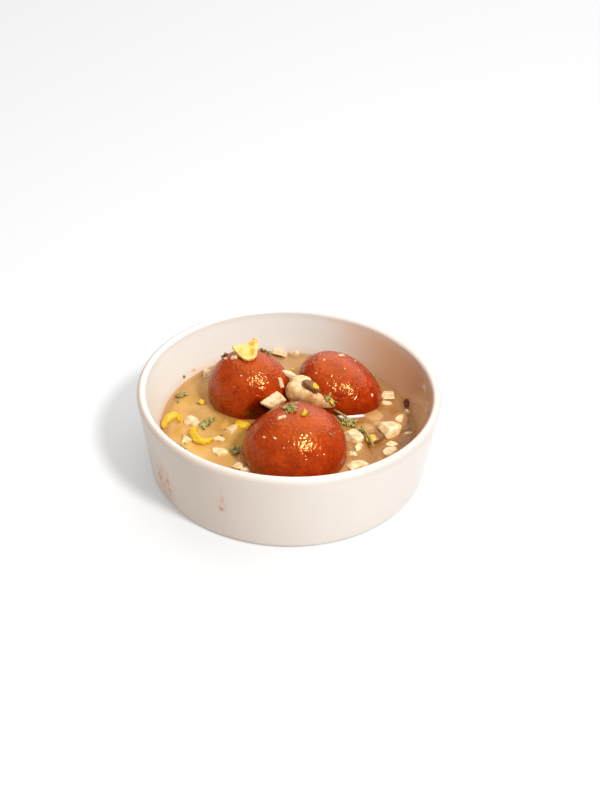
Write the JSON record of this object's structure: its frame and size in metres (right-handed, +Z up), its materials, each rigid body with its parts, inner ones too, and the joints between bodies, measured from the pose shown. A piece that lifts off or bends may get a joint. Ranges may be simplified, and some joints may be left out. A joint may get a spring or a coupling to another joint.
{
  "type": "gulab jamun in bowl",
  "caption": "Fried milk dumplings in light sugar syrup with chopped nuts and pistachios, served in a small straight-sided round bowl.",
  "frame": {"origin": "centre of the bowl's flat base, on the surface it stands on", "axes": "+Z up out of the bowl; +Y away from the single large dumpling, towards the gap between the two smaller ones; +X towards the side with the large nut chunks"},
  "size_m": [0.12, 0.12, 0.0443],
  "materials": {
    "china": "glossy off-white glaze with a few syrup stains",
    "syrup": "wet, cloudy golden syrup",
    "dumpling": "fried red-brown skin, finely wrinkled and wet with syrup",
    "nut": "cream cut nut",
    "pistachio": "yellow cut pistachio",
    "kernel": "brown skin over yellow kernel"
  },
  "bodies": {
    "root": {"bowl": "china", "syrup": "syrup", "gulab_jamun_front": "dumpling", "gulab_jamun_left": "dumpling", "gulab_jamun_right": "dumpling", "nut_right_upper": "nut", "nut_right_lower": "nut", "nut_chunk_large": "nut", "nut_chunk_wall": "nut", "nut_right_front": "nut", "nut_left": "nut", "nut_left_front": "nut", "pistachio_chip": "pistachio", "pistachio_arch": "pistachio", "pistachio_curl": "pistachio", "cashew": "nut", "almond_chip": "nut", "pistachio_flake": "pistachio", "kernel_right": "kernel", "kernel_on_cashew": "kernel"}
  },
  "joints": []
}
